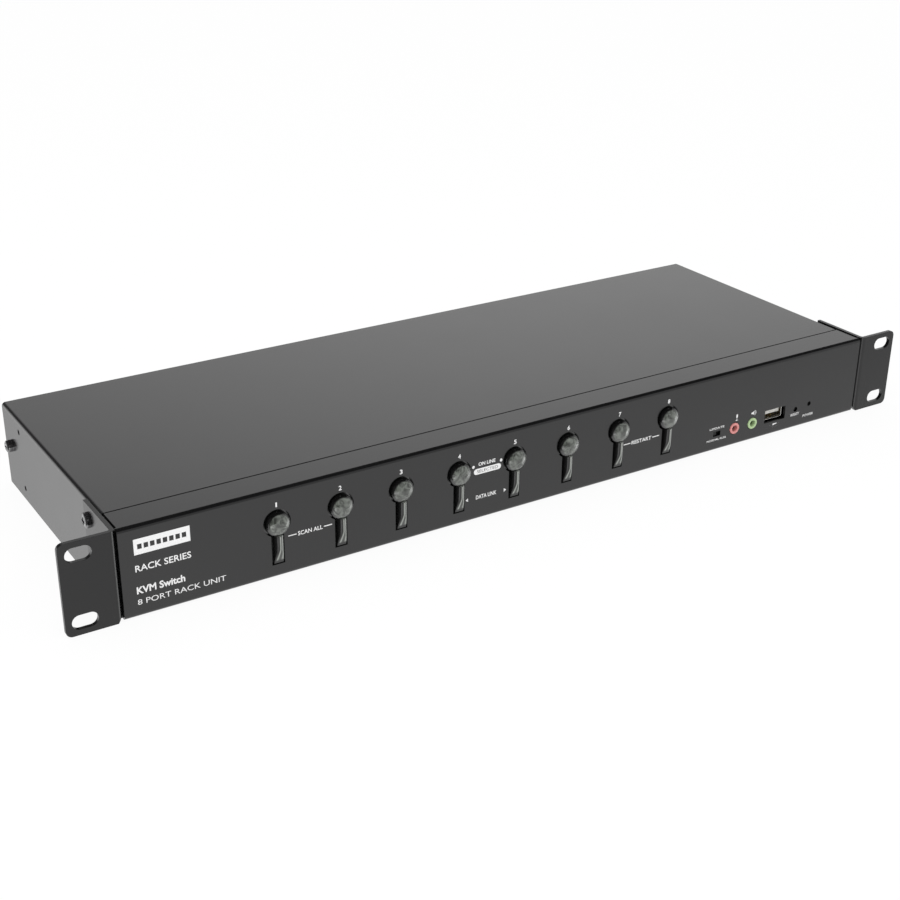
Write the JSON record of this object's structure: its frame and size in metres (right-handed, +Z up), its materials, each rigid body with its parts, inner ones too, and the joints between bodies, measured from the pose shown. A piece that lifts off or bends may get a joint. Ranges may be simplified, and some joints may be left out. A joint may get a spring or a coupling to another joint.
{
  "type": "kvm switch",
  "caption": "Rack-height keyboard, video and mouse switch: folded black steel case with slotted ears, keyhole-shaped port buttons, audio and data sockets, reset and mode switch.",
  "frame": {"origin": "under the middle of the unit: centre of its box in X and Y, on the plane of its underside", "axes": "+X to the right seen from the front, +Y from the front wall to the back, +Z up"},
  "size_m": [0.4826, 0.165, 0.044],
  "materials": {
    "case_black": "semi-gloss black powder coat",
    "screw_black": "black plated screw, semi-gloss",
    "bright_steel": "tin-plated steel, satin",
    "board_green": "solder mask over glass-filled board",
    "dark_plastic": "moulded black plastic",
    "lamp_clear": "clear lamp resin",
    "jack_pink": "pink moulded plastic",
    "jack_green": "light green moulded plastic",
    "pale_plastic": "pale insulating plastic",
    "ribbon_grey": "grey ribbon insulation",
    "chip_black": "moulded chip package",
    "sink_aluminium": "plain aluminium",
    "pin_brass": "plated brass",
    "cap_smoke": "smoke-tinted translucent plastic, polished",
    "lens_smoke": "smoke-tinted light guide, polished"
  },
  "bodies": {
    "case": {"base_tray": "case_black", "top_cover": "case_black", "rear_panel": "case_black", "left_rack_ear": "case_black", "right_rack_ear": "case_black", "ear_screws": "screw_black", "cover_screws": "screw_black", "ground_screw": "bright_steel", "selector_board": "board_green", "selector_spacers": "bright_steel", "key_switches": "dark_plastic", "link_leds": "lamp_clear", "front_port_board": "board_green", "firmware_switch_body": "dark_plastic", "mic_jack": "jack_pink", "speaker_jack": "jack_green", "front_usb_shell": "bright_steel", "front_usb_tongue": "pale_plastic", "reset_switch_body": "dark_plastic", "power_led": "lamp_clear", "main_board": "board_green", "board_standoffs": "bright_steel", "board_screws": "bright_steel", "upper_port_board": "board_green", "cable_headers": "dark_plastic", "ribbon_cable": "ribbon_grey", "port_chips": "chip_black", "main_processor": "chip_black", "heat_sink": "sink_aluminium", "capacitors": "sink_aluminium", "video_shells": "bright_steel", "video_inserts": "pale_plastic", "hex_posts": "bright_steel", "usb_host_shells": "bright_steel", "usb_host_inserts": "pale_plastic", "rear_mic_jacks": "jack_pink", "rear_speaker_jacks": "jack_green", "console_usb_shell": "bright_steel", "console_usb_tongues": "pale_plastic", "power_inlet": "dark_plastic", "power_inlet_pin": "pin_brass"},
    "button_1": {"port_button_1": "cap_smoke", "link_lens_1": "lens_smoke"},
    "button_2": {"port_button_2": "cap_smoke", "link_lens_2": "lens_smoke"},
    "button_3": {"port_button_3": "cap_smoke", "link_lens_3": "lens_smoke"},
    "button_4": {"port_button_4": "cap_smoke", "link_lens_4": "lens_smoke"},
    "button_5": {"port_button_5": "cap_smoke", "link_lens_5": "lens_smoke"},
    "button_6": {"port_button_6": "cap_smoke", "link_lens_6": "lens_smoke"},
    "button_7": {"port_button_7": "cap_smoke", "link_lens_7": "lens_smoke"},
    "button_8": {"port_button_8": "cap_smoke", "link_lens_8": "lens_smoke"},
    "firmware_slider": {"firmware_slider": "dark_plastic"},
    "reset_button": {"reset_button": "dark_plastic"}
  },
  "joints": [
    {"name": "press_button_1", "type": "slide", "parent": "case", "child": "button_1", "axis": [0, 1, 0], "range_m": [0, 0.001], "stiffness_N_per_m": 900, "springref_m": -0.0006},
    {"name": "press_button_2", "type": "slide", "parent": "case", "child": "button_2", "axis": [0, 1, 0], "range_m": [0, 0.001], "stiffness_N_per_m": 900, "springref_m": -0.0006},
    {"name": "press_button_3", "type": "slide", "parent": "case", "child": "button_3", "axis": [0, 1, 0], "range_m": [0, 0.001], "stiffness_N_per_m": 900, "springref_m": -0.0006},
    {"name": "press_button_4", "type": "slide", "parent": "case", "child": "button_4", "axis": [0, 1, 0], "range_m": [0, 0.001], "stiffness_N_per_m": 900, "springref_m": -0.0006},
    {"name": "press_button_5", "type": "slide", "parent": "case", "child": "button_5", "axis": [0, 1, 0], "range_m": [0, 0.001], "stiffness_N_per_m": 900, "springref_m": -0.0006},
    {"name": "press_button_6", "type": "slide", "parent": "case", "child": "button_6", "axis": [0, 1, 0], "range_m": [0, 0.001], "stiffness_N_per_m": 900, "springref_m": -0.0006},
    {"name": "press_button_7", "type": "slide", "parent": "case", "child": "button_7", "axis": [0, 1, 0], "range_m": [0, 0.001], "stiffness_N_per_m": 900, "springref_m": -0.0006},
    {"name": "press_button_8", "type": "slide", "parent": "case", "child": "button_8", "axis": [0, 1, 0], "range_m": [0, 0.001], "stiffness_N_per_m": 900, "springref_m": -0.0006},
    {"name": "slide_firmware_switch", "type": "slide", "parent": "case", "child": "firmware_slider", "axis": [1, 0, 0], "range_m": [0, 0.002]},
    {"name": "press_reset", "type": "slide", "parent": "case", "child": "reset_button", "axis": [0, 1, 0], "range_m": [0, 0.0005], "stiffness_N_per_m": 600, "springref_m": -0.0004}
  ]
}
